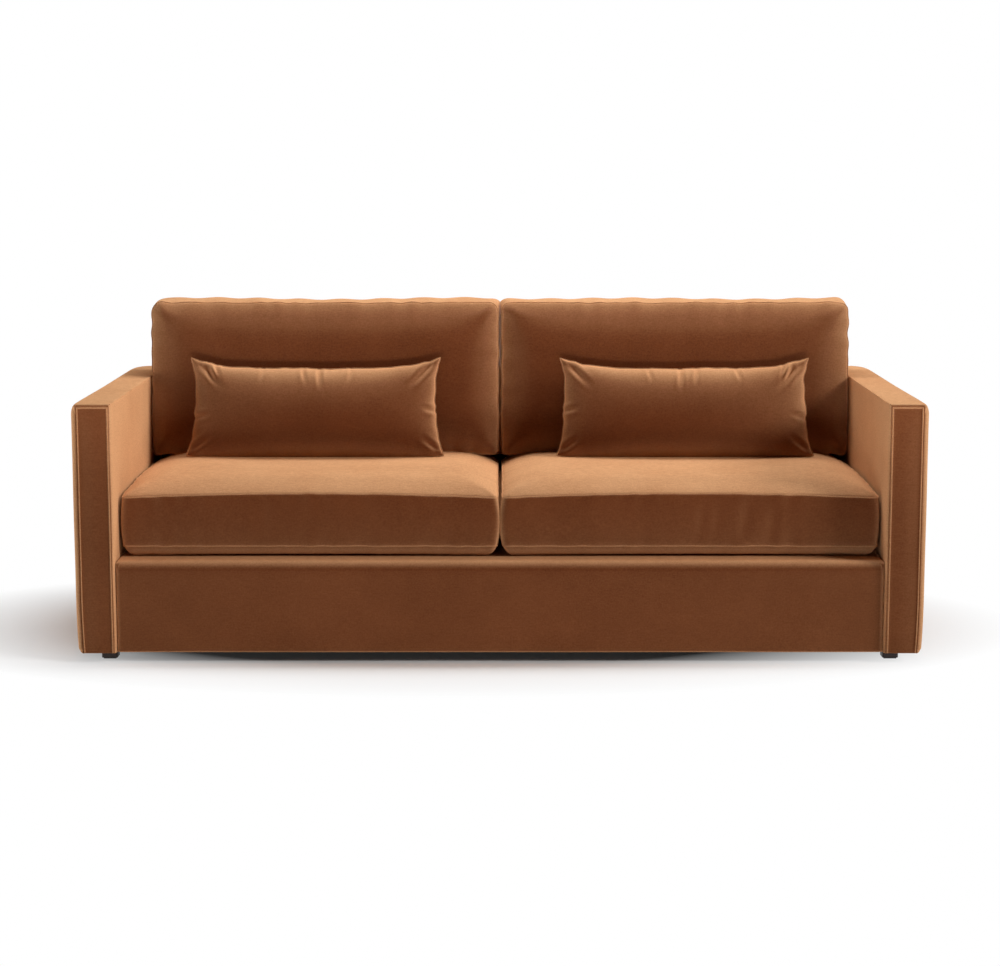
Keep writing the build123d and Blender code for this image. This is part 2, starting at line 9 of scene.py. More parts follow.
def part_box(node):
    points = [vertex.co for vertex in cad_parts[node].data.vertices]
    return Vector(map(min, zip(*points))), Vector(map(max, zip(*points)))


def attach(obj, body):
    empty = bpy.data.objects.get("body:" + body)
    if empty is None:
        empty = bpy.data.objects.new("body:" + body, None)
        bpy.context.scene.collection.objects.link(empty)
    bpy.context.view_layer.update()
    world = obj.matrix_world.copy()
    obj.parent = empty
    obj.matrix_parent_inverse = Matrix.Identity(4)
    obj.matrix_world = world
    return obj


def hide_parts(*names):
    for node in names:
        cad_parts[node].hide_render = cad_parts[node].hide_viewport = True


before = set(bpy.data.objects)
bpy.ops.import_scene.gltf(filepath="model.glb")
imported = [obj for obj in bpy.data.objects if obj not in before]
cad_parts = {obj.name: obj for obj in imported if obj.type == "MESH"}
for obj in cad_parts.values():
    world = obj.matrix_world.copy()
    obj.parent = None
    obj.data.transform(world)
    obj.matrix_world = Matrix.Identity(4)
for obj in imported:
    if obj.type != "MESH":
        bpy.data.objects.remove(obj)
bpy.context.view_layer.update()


# Timber frame
# Sawn hardwood rails, posts and boards, glued and screwed into a box that carries the whole sofa.
# The upholstery hides all of it, so the wood is left raw.
class Strand:
    """One output in a node tree. Sums of strands add Math nodes to a material's tree."""

    def __init__(self, tree, output=None):
        self.tree = tree
        self.output = output

    def node(self, kind, sockets=None, settings=None, output=0):
        """Add a node: its settings first, then a value or a strand for each socket."""
        made = self.tree.nodes.new(kind)
        for name, value in (settings or {}).items():
            setattr(made, name, value)
        for key, value in (sockets or {}).items():
            if isinstance(value, Strand):
                self.tree.links.new(value.output, made.inputs[key])
            else:
                made.inputs[key].default_value = value
        return Strand(self.tree, made.outputs[output])

    def math(self, operation, first, second):
        return self.node("ShaderNodeMath", {0: first, 1: second}, {"operation": operation})

    def mix(self, first, second):
        """A colour that goes from first to second as this strand goes from 0 to 1."""
        sockets = {0: self, 6: first, 7: second}
        return self.node("ShaderNodeMix", sockets, {"data_type": "RGBA"}, output=2)

    def bump(self, surface, strength, distance):
        """Let this strand's heights tilt the surface's normal."""
        sockets = {"Height": self, "Strength": strength, "Distance": distance}
        self.node("ShaderNodeBump", sockets).feed(surface, "Normal")

    def beside(self, output):
        """Another output of the same node."""
        return Strand(self.tree, self.output.node.outputs[output])

    def place(self):
        return self.node("ShaderNodeTexCoord", output="Object")

    def noise(self, place, scale, detail, **more):
        sockets = {"Vector": place, "Scale": scale, "Detail": detail, **more}
        return self.node("ShaderNodeTexNoise", sockets)

    def feed(self, surface, socket):
        self.tree.links.new(self.output, surface.inputs[socket])

    def __add__(self, other):
        return self.math("ADD", self, other)

    __radd__ = __add__

    def __sub__(self, other):
        return self.math("SUBTRACT", self, other)

    def __rsub__(self, other):
        return self.math("SUBTRACT", other, self)

    def __mul__(self, other):
        return self.math("MULTIPLY", self, other)

    __rmul__ = __mul__

    def __pow__(self, other):
        return self.math("POWER", self, other)


def new_finish(name, constants):
    """A material, a strand to hang its nodes on, and its Principled surface."""
    material = bpy.data.materials.new(name)
    material.use_nodes = True
    surface = material.node_tree.nodes["Principled BSDF"]
    for socket, value in constants.items():
        surface.inputs[socket].default_value = value
    return material, Strand(material.node_tree), surface


def timber_finish(name, grain_axis):
    """Raw hardwood with its grain along one axis."""
    material, strand, surface = new_finish(name, {})
    stretch = [16.0] * 3
    stretch[grain_axis] = 1.1
    along = strand.node("ShaderNodeMapping", {"Vector": strand.place(), "Scale": stretch})
    rings = strand.noise(along, 4.0, 6.0, Distortion=0.8)
    pores = strand.noise(along, 60.0, 3.0)
    tone = rings * 0.7 + pores * 0.3
    tone.mix((0.62, 0.44, 0.26, 1), (0.36, 0.22, 0.11, 1)).feed(surface, "Base Color")
    (pores * 0.2 + 0.65).feed(surface, "Roughness")
    pores.bump(surface, 0.3, 0.0004)
    return material


def dress(node, material):
    """Give a CAD piece its finish."""
    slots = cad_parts[node].data.materials
    slots.clear()
    slots.append(material)


timber_across = timber_finish("hardwood_grain_across", 0)
timber_deep = timber_finish("hardwood_grain_front_to_rear", 1)
timber_upright = timber_finish("hardwood_grain_upright", 2)
for node in ("front_rail", "seat_rear_rail", "rear_rail", "back_top_rail", "back_lower_rails"):
    dress(node, timber_across)
for node in ("middle_stretcher", "foot_blocks"):
    dress(node, timber_deep)
dress("back_middle_post", timber_upright)
for side_name in ("left", "right"):
    for node in ("side_rail", "arm_top_rail"):
        dress(f"{node}_{side_name}", timber_deep)
    for node in ("arm_front_post", "back_post"):
        dress(f"{node}_{side_name}", timber_upright)


# Seat and back webbing
# Woven elastic bands, stretched from rail to rail and stapled down, lengthwise bands first and
# cross bands over them. They carry the deck and the back padding.
webbing, strand, surface = new_finish("elastic_webbing", {"Roughness": 0.85})
yarn_pitch = 0.0028
wave_turn = 20  # radians per metre of a Wave texture at scale 1
weave = {"Vector": strand.place(), "Scale": 2 * math.pi / yarn_pitch / wave_turn}
across = strand.node("ShaderNodeTexWave", weave, {"bands_direction": "X"})
slanted = strand.node("ShaderNodeTexWave", weave, {"bands_direction": "DIAGONAL"})
yarns = across * slanted
yarns.mix((0.015, 0.015, 0.017, 1), (0.07, 0.07, 0.075, 1)).feed(surface, "Base Color")
yarns.bump(surface, 0.6, 0.0006)
for node in ("seat_webs_lengthwise", "seat_webs_crosswise", "back_webs_upright", "back_webs_cross"):
    dress(node, webbing)


# Arms
# Each arm is a narrow box of timber wrapped in foam, with the velvet pulled over it and sewn along
# its edges. The front is a panel of its own, set in with a ridged seam on three sides.
def velvet_finish(name, seam_highlight_share):
    """Short-pile velvet. Its base colour goes from the cloth's own face-on colour to a bright
    colour as the view grazes the surface: a painted sheen. The second argument is the share of that
    bright colour shown even head-on: a painted highlight for the seams.
    """
    constants = {
        "Specular IOR Level": 0.02,
        "Sheen Weight": 0.15,
        "Sheen Roughness": 0.5,
        "Sheen Tint": (1.0, 0.52, 0.24, 1),
    }
    material, strand, surface = new_finish(name, constants)
    place = strand.place()
    brushed = strand.noise(place, 7.0, 4.0)
    pile = strand.noise(place, 240.0, 3.0)
    stretch = strand.node("ShaderNodeMapping", {"Vector": place, "Scale": (60, 60, 900)})
    rows = strand.noise(stretch, 1.0, 2.0)
    contrast = 2.3
    tone = (brushed * 0.25 + pile * 0.45 + rows * 0.3 - 0.5) * contrast + 0.5
    # Face-on, the cloth's own colour. Towards grazing views the viewing angle mixes in the bright
    # colour: a painted sheen in the base colour.
    roots = tone.mix((0.10, 0.027, 0.0085, 1), (0.20, 0.06, 0.021, 1))
    painted_sheen_colour = tone.mix((0.56, 0.262, 0.118, 1), (0.86, 0.48, 0.245, 1))
    facing = strand.node("ShaderNodeLayerWeight", {"Blend": 0.5}, output="Facing")
    nap_sheen = 1 - (1 - facing) ** 2 * (1 - seam_highlight_share)
    nap_sheen.mix(roots, painted_sheen_colour).feed(surface, "Base Color")
    (pile * 0.15 + 0.8).feed(surface, "Roughness")
    (pile * 0.6 + rows * 0.4).bump(surface, 0.35, 0.0006)
    return material


velvet = velvet_finish("caramel_velvet", 0)
# The same velvet, showing part of the painted sheen head-on: a painted highlight along the seam
# ridges
seam_highlight_velvet = velvet_finish("caramel_velvet_painted_seam_highlight", 0.4)


def reach_of(*nodes):
    """Lowest and highest corners of several CAD nodes together."""
    boxes = np.array([[list(corner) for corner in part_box(node)] for node in nodes])
    return boxes[:, 0].min(axis=0), boxes[:, 1].max(axis=0)


def graded(low, high, low_edge, high_edge, cell, steps=5):
    """Grid planes between two faces: close together in the edges, about cell apart between them."""
    count = max(2, round((high - high_edge - low - low_edge) / cell))
    near = [low + low_edge * step / steps for step in range(steps)]
    middle = np.linspace(low + low_edge, high - high_edge, count + 1)
    far = [high - high_edge * step / steps for step in range(steps)]
    return near + list(middle) + far[::-1]


def block_mesh(xs, ys, zs):
    """Points, outward quads and grid places of the six faces of a block on the given planes."""
    planes = (xs, ys, zs)
    places = {}
    points = []
    quads = []

    def point(place):
        if place not in places:
            places[place] = len(points)
            points.append([planes[axis][place[axis]] for axis in range(3)])
        return places[place]

    for axis in range(3):
        first = (axis + 1) % 3
        second = (axis + 2) % 3
        for end in (0, len(planes[axis]) - 1):
            for i in range(len(planes[first]) - 1):
                for j in range(len(planes[second]) - 1):
                    ring = []
                    for step_i, step_j in ((0, 0), (1, 0), (1, 1), (0, 1)):
                        place = (end, i + step_i, j + step_j)
                        ring.append(point(place[-axis:] + place[:-axis]))
                    quads.append(ring if end else ring[::-1])
    return np.array(points), quads, places


def roll_edge(points, face, other_face, radius, other_radius=None):
    """Round the edge where two faces meet. A face is its axis, its plane and the way it looks.
    With a second radius, along the other face's axis, the round is an ellipse."""
    axis_a, plane_a, way_a = face
    axis_b, plane_b, way_b = other_face
    radius_b = other_radius or radius
    a = 1 - way_a * (plane_a - points[:, axis_a]) / radius
    b = 1 - way_b * (plane_b - points[:, axis_b]) / radius_b
    near = (a > 0) & (b > 0)
    shrink = np.maximum(a, b)[near] / np.hypot(a, b)[near]
    points[near, axis_a] = plane_a - way_a * radius * (1 - a[near] * shrink)
    points[near, axis_b] = plane_b - way_b * radius_b * (1 - b[near] * shrink)


def placed(name, data):
    """An object in the scene for a mesh, a lamp or a camera."""
    made = bpy.data.objects.new(name, data)
    bpy.context.collection.objects.link(made)
    return made


def evaluated(piece):
    return piece.evaluated_get(bpy.context.evaluated_depsgraph_get())


def add_piece(name, points, quads, material):
    """A smooth mesh object in the sofa's frame."""
    mesh = bpy.data.meshes.new(name)
    mesh.from_pydata([tuple(point) for point in points], [], quads)
    mesh.shade_smooth()
    mesh.materials.append(material)
    return placed(name, mesh)


def mirrored(points, quads, side):
    """The right-hand shape as it is, or its mirror image with its faces still outward."""
    if side > 0:
        return points, quads
    return points * (-1, 1, 1), [quad[::-1] for quad in quads]


def unevenness(points, wave, height):
    """A gentle hand-stuffed unevenness: three crossing waves."""
    x, y, z = (points / wave).T
    waves = np.sin(2.1 * x + 1.3 * z + 0.7) + np.sin(1.7 * y - 2.3 * x + 1.9)
    return height * (waves + np.sin(2.9 * z + 1.1 * y + 4.2)) / 3


# Distance from a seam, and how far the cloth stands out there: crease, ridge, then the panel. The
# crest is the ridge's place in these lists.
ridge_distance = (0, 0.0008, 0.0016, 0.0026, 0.0036, 0.0048, 0.006, 0.014, 0.04)
ridge_height = (-0.0018, -0.0003, 0.0009, 0.0013, 0.0009, 0.0001, 0, 0.0006, 0.0018)
ridge_crest = 3


def panel_planes(low, high, cell):
    """Grid planes across a sewn panel, with a plane at each bend of its ridged border."""
    border = list(ridge_distance[:-1])
    count = max(2, round((high - low - 2 * border[-1]) / cell))
    middle = list(np.linspace(low + border[-1], high - border[-1], count + 1))
    return [low + d for d in border[:-1]] + middle + [high - d for d in border[:-1]][::-1]


def border_ridge(points, left, right, top):
    """How far a sewn panel's cloth stands out, by the distance from its side and top seams."""
    from_side = np.minimum(points[:, 0] - left, right - points[:, 0])
    from_edge = np.minimum(from_side, top - points[:, 2])
    return np.interp(from_edge, ridge_distance, ridge_height)


def line_nodes(name, values, shape):
    """Geometry Nodes that lay a shape along a line and give it a finish, and the identifiers of
    their inputs. Shape adds the nodes from the line's curve to the geometry that it returns."""
    tree = bpy.data.node_groups.new(name, "GeometryNodeTree")
    inputs = {}
    for socket, kind in {"Line": "Geometry", "Finish": "Material", **values}.items():
        made = tree.interface.new_socket(socket, in_out="INPUT", socket_type=f"NodeSocket{kind}")
        inputs[socket] = made.identifier
    tree.interface.new_socket("Shape", in_out="OUTPUT", socket_type="NodeSocketGeometry")
    given = Strand(tree).node("NodeGroupInput")
    curve = given.node("GeometryNodeMeshToCurve", {"Mesh": given.beside("Line")})
    real = given.node("GeometryNodeRealizeInstances", {"Geometry": shape(curve, given)})
    sockets = {"Geometry": real, "Material": given.beside("Finish")}
    finished = given.node("GeometryNodeSetMaterial", sockets)
    finished.feed(tree.nodes.new("NodeGroupOutput"), "Shape")
    return tree, inputs


def laid_along(name, points, edges, nodes, values):
    """The piece that line nodes make along a line, with a value for each of their inputs."""
    tree, inputs = nodes
    mesh = bpy.data.meshes.new(name)
    mesh.from_pydata(points, edges, [])
    line = placed(f"{name}_line", mesh)
    modifier = line.modifiers.new("shape", "NODES")
    modifier.node_group = tree
    for socket, value in values.items():
        modifier[inputs[socket]] = value
    made = bpy.data.meshes.new_from_object(evaluated(line))
    bpy.data.objects.remove(line)
    return placed(name, made)


def round_ridge(curve, given):
    """Nodes for a round ridge of cloth along a seam."""
    sockets = {"Resolution": 8, "Radius": given.beside("Radius")}
    ring = curve.node("GeometryNodeCurvePrimitiveCircle", sockets)
    sockets = {"Curve": curve, "Profile Curve": ring, "Fill Caps": True}
    tube = curve.node("GeometryNodeCurveToMesh", sockets)
    return curve.node("GeometryNodeSetShadeSmooth", {"Geometry": tube})


ridge_nodes = line_nodes("seam_ridge", {"Radius": "Float"}, round_ridge)


def seam_ridges(name, lines, radius, closed=True):
    """One mesh of round ridges along lines of points."""
    points, edges = [], []
    for line in lines:
        start, count = len(points), len(line)
        points += [tuple(point) for point in line]
        steps = count if closed else count - 1
        edges += [(start + step, start + (step + 1) % count) for step in range(steps)]
    # The ridges take the velvet with the painted seam highlight
    values = {"Radius": radius, "Finish": seam_highlight_velvet}
    return laid_along(name, points, edges, ridge_nodes, values)


SIDES = (("left", -1), ("right", 1))
outer_roll, outer_drop, outer_depth = 0.0113, 0.028, 0.022
inner_roll, inner_depth = 0.0055, 0.02
top_roll, foot_roll = 0.006, 0.012
rear_outer_roll, rear_inner_roll = 0.024, 0.012
# The outer side's bulge, and how far behind the front it is full and has died away
outer_bulge, bulge_start, bulge_reach = 0.006, 0.012, 0.3
# The fall of the outer rear corner, and how far it reaches forward and down
rear_fall, fall_length, fall_height = 0.008, 0.15, 0.06
drawn_in, drawn_height = 0.005, 0.16
arm_swell, arm_wave, arm_lumps = 0.002, 0.16, 0.0008
panel_recess, panel_step = 0.004, 0.0012
panel_gap, panel_clearance = 0.001, 0.0004
top_seam_radius, front_seam_radius, seam_tuck = 0.0015, 0.0012, 0.0008
arm_cell, arm_cell_across = 0.022, 0.016
panel_cell, panel_cell_across = 0.02, 0.014
arm_low, arm_high = reach_of(
    "arm_outside_panel_right", "arm_inside_panel_right", "arm_top_panel_right"
)
inner, front, bottom = arm_low
outer, rear, top = arm_high
panel_left, panel_right, panel_top = inner + inner_roll, outer - outer_roll, top - top_roll
for side_name, side in SIDES:
    xs = graded(inner, outer, inner_roll, outer_roll, arm_cell_across)
    xs = sorted(xs + [panel_left + panel_step, panel_right - panel_step])
    ys = graded(front, rear, outer_depth, rear_outer_roll, arm_cell, steps=9)
    zs = graded(bottom, top, foot_roll, outer_drop, arm_cell, steps=8)
    zs = sorted(zs + [panel_top, panel_top - panel_step])
    points, quads, places = block_mesh(xs, ys, zs)
    behind_panel = (
        (points[:, 1] == front)
        & (points[:, 0] > panel_left + panel_step / 2)
        & (points[:, 0] < panel_right - panel_step / 2)
        & (points[:, 2] < panel_top - panel_step / 2)
    )
    seam_line = [places[(0, j, len(zs) - 1)] for j in range(len(ys))]
    front_face, rear_face = (1, front, -1), (1, rear, 1)
    inner_face, outer_face = (0, inner, -1), (0, outer, 1)
    top_face, low_face = (2, top, 1), (2, bottom, -1)
    roll_edge(points, outer_face, front_face, outer_roll, outer_depth)
    roll_edge(points, inner_face, front_face, inner_roll, inner_depth)
    roll_edge(points, outer_face, rear_face, rear_outer_roll)
    roll_edge(points, inner_face, rear_face, rear_inner_roll)
    roll_edge(points, outer_face, top_face, outer_roll, outer_drop)
    roll_edge(points, inner_face, top_face, inner_roll)
    roll_edge(points, front_face, top_face, top_roll)
    roll_edge(points, rear_face, top_face, rear_inner_roll)
    roll_edge(points, outer_face, low_face, foot_roll)
    points[behind_panel, 1] += panel_recess
    middle = (inner + outer) / 2
    seam = points[seam_line]
    points[seam_line] += (seam_tuck, 0, -seam_tuck)
    outside = np.clip((points[:, 0] - middle) / (outer - middle), 0, 1)
    behind = points[:, 1] - front
    fullness = (1 - np.exp(-behind / bulge_start)) * np.exp(-((behind / bulge_reach) ** 2))
    points[:, 0] += outer_bulge * outside**2 * fullness
    rearward = np.clip((points[:, 1] - rear) / fall_length + 1, 0, 1)
    upward = np.clip((points[:, 2] - top) / fall_height + 1, 0, 1)
    points[:, 2] -= rear_fall * (outside * rearward) ** 2 * upward
    lowness = np.clip(1 - (points[:, 2] - bottom) / drawn_height, 0, 1)
    points[:, 0] -= outside * drawn_in * lowness**2
    depth_share = (points[:, 1] - front) / (rear - front)
    height_share = (points[:, 2] - bottom) / (top - bottom)
    swell = np.clip(np.sin(np.pi * depth_share), 0, 1) * np.clip(np.sin(np.pi * height_share), 0, 1)
    points[:, 0] += (points[:, 0] - middle) / (outer - middle) * arm_swell * swell
    lumps = unevenness(points, arm_wave, arm_lumps)
    points[:, 0] += (points[:, 0] - middle) / (outer - middle) * lumps
    points, quads = mirrored(points, quads, side)
    seam = seam * (side, 1, 1)
    seams = seam_ridges(f"arm_top_seam_{side_name}", [seam], top_seam_radius, closed=False)
    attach(seams, "frame")
    arm = add_piece(f"arm_upholstery_{side_name}", points, quads, velvet)
    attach(arm, "frame")
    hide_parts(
        f"arm_padding_{side_name}",
        f"arm_top_panel_{side_name}",
        f"arm_inside_panel_{side_name}",
        f"arm_outside_panel_{side_name}",
    )

    xs = panel_planes(panel_left, panel_right, panel_cell_across)
    zs = panel_planes(bottom + panel_gap, panel_top, panel_cell)
    points, quads, places = block_mesh(xs, [front, front + panel_recess - panel_clearance], zs)
    shown = points[:, 1] == front
    points[shown, 1] -= border_ridge(points, panel_left, panel_right, panel_top)[shown]
    lowness = np.clip(1 - (points[:, 2] - bottom) / drawn_height, 0, 1)
    points[:, 0] -= np.clip((points[:, 0] - inner) / (outer - inner), 0, 1) * drawn_in * lowness**2
    last_x, last_z = len(xs) - 1 - ridge_crest, len(zs) - 1 - ridge_crest
    seam_line = [places[(ridge_crest, 0, k)] for k in range(last_z)]
    seam_line += [places[(i, 0, last_z)] for i in range(ridge_crest, last_x)]
    seam_line += [places[(last_x, 0, k)] for k in range(last_z, -1, -1)]
    seam = points[seam_line] * (side, 1, 1)
    seams = seam_ridges(f"arm_front_seam_{side_name}", [seam], front_seam_radius, closed=False)
    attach(seams, "frame")
    points, quads = mirrored(points, quads, side)
    panel = add_piece(f"arm_front_panel_velvet_{side_name}", points, quads, velvet)
    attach(panel, "frame")
    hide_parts(f"arm_front_panel_{side_name}")


# Front rail
# A tall board under the seat, padded and covered in one piece of velvet that rolls over its top
# edge and runs back to the deck, and is stapled under the rail.
rail_low, rail_high = reach_of("front_rail_panel", "front_rail_padding")
rail_inset = 0.0012
lip_roll, rail_side_roll, hem_roll = 0.024, 0.012, 0.005
rail_wave, rail_lumps = 0.21, 0.0012
rail_cell, rail_cell_across = 0.02, 0.03
left, rail_front, rail_bottom = rail_low + (rail_inset, 0, 0)
right, rail_back, rail_top = rail_high - (rail_inset, 0, 0)
xs = graded(left, right, rail_side_roll, rail_side_roll, rail_cell_across)
ys = graded(rail_front, rail_back, lip_roll, hem_roll, rail_cell, steps=8)
zs = graded(rail_bottom, rail_top, hem_roll, lip_roll, rail_cell, steps=8)
points, quads, _ = block_mesh(xs, ys, zs)
front_face, top_face, low_face = (1, rail_front, -1), (2, rail_top, 1), (2, rail_bottom, -1)
roll_edge(points, front_face, top_face, lip_roll)
roll_edge(points, front_face, low_face, hem_roll)
for end_face in ((0, left, -1), (0, right, 1)):
    roll_edge(points, end_face, front_face, rail_side_roll)
    roll_edge(points, end_face, top_face, hem_roll)
forward = np.clip((rail_back - points[:, 1]) / (rail_back - rail_front), 0, 1)
points[:, 1] -= forward * unevenness(points, rail_wave, rail_lumps)
front_rail_velvet = add_piece("front_rail_upholstery", points, quads, velvet)
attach(front_rail_velvet, "frame")
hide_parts("front_rail_panel", "front_rail_padding")


# Deck
# A thin pad over the webbing and the cloth that the seat cushions lie on. The cloth is sewn to the
# front rail's cover and pulled down behind the seat.
def middle_share(points, low, high):
    """0 at the edges of a level sheet, and 1 in its middle."""
    share = (points[:, :2] - low[:2]) / (high[:2] - low[:2])
    return np.abs(np.prod(np.sin(np.pi * share), axis=1))


deck_sag, deck_wave, deck_lumps = 0.0015, 0.13, 0.0004
deck_edge, deck_cell = 0.02, 0.03
deck_low, deck_high = reach_of("deck_cloth")
xs = graded(deck_low[0] + rail_inset, deck_high[0] - rail_inset, deck_cell, deck_cell, deck_cell)
ys = graded(deck_low[1], deck_high[1], deck_edge, deck_edge, deck_cell)
points, quads, _ = block_mesh(xs, ys, [deck_low[2], deck_high[2]])
points[:, 2] -= deck_sag * middle_share(points, deck_low, deck_high)
points[:, 2] += unevenness(points, deck_wave, deck_lumps)
deck_velvet = add_piece("deck_velvet", points, quads, velvet)
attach(deck_velvet, "frame")
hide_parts("deck_cloth")

foam, strand, surface = new_finish("pale_foam", {"Roughness": 0.95})
cells = strand.node("ShaderNodeTexVoronoi", {"Vector": strand.place(), "Scale": 500.0})
cells.mix((0.78, 0.72, 0.52, 1), (0.9, 0.86, 0.68, 1)).feed(surface, "Base Color")
cells.bump(surface, 0.4, 0.0008)
pad_press, pad_roll, pad_wave = 0.0025, 0.005, 0.11
pad_edge, pad_cell, pad_layer = 0.006, 0.06, 0.012
pad_low, pad_high = reach_of("deck_pad")
pad_top = pad_high[2] - pad_press
xs = graded(pad_low[0] + rail_inset, pad_high[0] - rail_inset, pad_edge, pad_edge, pad_cell)
ys = graded(pad_low[1], pad_high[1], pad_edge, pad_edge, pad_cell)
zs = graded(pad_low[2], pad_top, pad_edge, pad_edge, pad_layer)
points, quads, _ = block_mesh(xs, ys, zs)
for y_face in ((1, pad_low[1], -1), (1, pad_high[1], 1)):
    roll_edge(points, y_face, (2, pad_top, 1), pad_roll)
points[:, 2] += unevenness(points, pad_wave, deck_lumps)
deck_foam = add_piece("deck_foam", points, quads, foam)
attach(deck_foam, "frame")
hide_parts("deck_pad")


# Back
# The leaning inside back is foam over webbing under one piece of velvet, rolled over the top board.
# A plain outside panel closes the rear, sewn on with the same ridged seam as the arm fronts.
back_low, back_high = reach_of("inside_back_cover", "back_padding")
back_lean = math.radians(5)
back_depth, back_roll, rear_clearance = 0.125, 0.012, 0.0026
back_wave, back_lumps = 0.2, 0.001
end_edge, back_grid, back_grid_across = 0.006, 0.02, 0.03
left, right = back_low[0] + rail_inset, back_high[0] - rail_inset
back_foot, back_top, back_rear = back_low[2], back_high[2], back_high[1]
xs = graded(left, right, end_edge, end_edge, back_grid_across)
ys = graded(0, back_depth, back_roll, back_roll, back_grid)
zs = graded(back_foot, back_top, end_edge, back_roll, back_grid)
points, quads, _ = block_mesh(xs, ys, zs)
roll_edge(points, (1, 0, -1), (2, back_top, 1), back_roll)
roll_edge(points, (1, back_depth, 1), (2, back_top, 1), back_roll)
inside = back_rear - back_depth - (back_top - points[:, 2]) * math.tan(back_lean)
points[:, 1] = inside + points[:, 1] / back_depth * (back_rear - rear_clearance - inside)
points[:, 1] += unevenness(points, back_wave, back_lumps)
back_velvet = add_piece("back_upholstery", points, quads, velvet)
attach(back_velvet, "frame")
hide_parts("inside_back_cover", "back_padding")

out_tuck, out_wave, out_lumps = 0.0012, 0.24, 0.0014
out_cell, out_cell_across = 0.025, 0.03
out_low, out_high = reach_of("outside_back_cover")
out_high[0] = outer - rear_outer_roll
out_low[0] = -out_high[0]
xs = panel_planes(out_low[0], out_high[0], out_cell_across)
zs = panel_planes(out_low[2] + panel_gap, out_high[2], out_cell)
points, quads, _ = block_mesh(xs, [out_low[1] - out_tuck, out_high[1]], zs)
shown = points[:, 1] == out_high[1]
points[shown, 1] += border_ridge(points, out_low[0], out_high[0], out_high[2])[shown]
points[shown, 1] += unevenness(points, out_wave, out_lumps)[shown]
outside_back = add_piece("outside_back_panel", points, quads, velvet)
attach(outside_back, "frame")
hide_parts("outside_back_cover")


# Dust cover
# A sheet of black non-woven cloth that closes the underside, stapled to the rails all round.
lining, strand, surface = new_finish("black_nonwoven", {"Roughness": 0.95})
fibres = strand.noise(strand.place(), 240.0, 6.0)
fibres.mix((0.008, 0.008, 0.009, 1), (0.05, 0.05, 0.053, 1)).feed(surface, "Base Color")
fibres.bump(surface, 0.5, 0.0006)
dust_sag, dust_edge, dust_cell = 0.004, 0.03, 0.04
dust_low, dust_high = reach_of("dust_cover")
xs = graded(dust_low[0], dust_high[0], dust_edge, dust_edge, dust_cell)
ys = graded(dust_low[1], dust_high[1], dust_edge, dust_edge, dust_cell)
points, quads, _ = block_mesh(xs, ys, [dust_low[2], dust_high[2]])
points[:, 2] -= dust_sag * middle_share(points, dust_low, dust_high) ** 0.5
dust_cover = add_piece("dust_cover_lining", points, quads, lining)
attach(dust_cover, "frame")
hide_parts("dust_cover")

zinc, strand, surface = new_finish("zinc_plate", {"Metallic": 1.0})
spangle = strand.node("ShaderNodeTexVoronoi", {"Vector": strand.place(), "Scale": 260.0})
spangle.mix((0.48, 0.48, 0.46, 1), (0.66, 0.65, 0.6, 1)).feed(surface, "Base Color")
(spangle * 0.2 + 0.3).feed(surface, "Roughness")


def staple_row(curve, given):
    """Nodes for staples in a row along a line."""
    sockets = {"Curve": curve, "Length": given.beside("Spacing")}
    row = curve.node("GeometryNodeCurveToPoints", sockets, {"mode": "LENGTH"})
    wire = curve.node("GeometryNodeMeshCube", {"Size": given.beside("Size")})
    sockets = {"Points": row, "Rotation": row.beside("Rotation"), "Instance": wire}
    return curve.node("GeometryNodeInstanceOnPoints", sockets)


staple_wire, staple_crown, staple_spacing = 0.0014, 0.011, 0.05
staple_inset, staple_stand = 0.012, 0.0006
left, near = dust_low[:2] + staple_inset
right, far = dust_high[:2] - staple_inset
level = dust_low[2] - staple_stand
staples = laid_along(
    "dust_cover_staples",
    [(left, near, level), (right, near, level), (right, far, level), (left, far, level)],
    [(0, 1), (1, 2), (2, 3), (3, 0)],
    line_nodes("staple_row", {"Spacing": "Float", "Size": "Vector"}, staple_row),
    {"Spacing": staple_spacing, "Size": (staple_wire, staple_wire, staple_crown), "Finish": zinc},
)
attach(staples, "frame")


# Feet
# Low square blocks of hardwood in a dark espresso stain, each on a plastic glide. A bolt in the
# foot screws into a tee nut in the frame.
espresso, strand, surface = new_finish(
    "espresso_stain", {"Specular IOR Level": 0.3, "Coat Weight": 0.08}
)
stretch = (6.0, 90.0, 90.0)
along = strand.node("ShaderNodeMapping", {"Vector": strand.place(), "Scale": stretch})
grain = strand.noise(along, 2.0, 6.0)
grain.mix((0.012, 0.005, 0.0045, 1), (0.035, 0.015, 0.012, 1)).feed(surface, "Base Color")
(grain * 0.25 + 0.3).feed(surface, "Roughness")
grain.bump(surface, 0.25, 0.0004)
for node in ("foot_front_left", "foot_front_right", "foot_rear_left", "foot_rear_right"):
    dress(node, espresso)

glide_plastic, strand, surface = new_finish("glide_plastic", {})
scuffs = strand.noise(strand.place(), 180.0, 4.0)
scuffs.mix((0.02, 0.02, 0.021, 1), (0.05, 0.05, 0.052, 1)).feed(surface, "Base Color")
(scuffs * 0.3 + 0.4).feed(surface, "Roughness")
dress("foot_glides", glide_plastic)

for node in ("foot_bolts", "foot_tee_nuts"):
    dress(node, zinc)


# Seat cushions
# A slab of foam in a fibre wrap, in a zipped velvet cover: a top and an under panel sewn to a
# boxing strip. They lie loose on the deck, side by side.
def dome(from_x, from_y, rises):
    """Height of a stuffed panel above its seams. Each rise has its reach across and along, and
    its bend: 0.5 leaves the seam as a round, 1 as a slope."""
    height = 0
    for rise, across, along, bend in rises:
        spans = np.hypot(across / np.maximum(from_x, 1e-6), along / np.maximum(from_y, 1e-6))
        share = 1 - np.clip(1 / spans, 0, 1)
        height = height + rise * (1 - share**2) ** bend
    return height


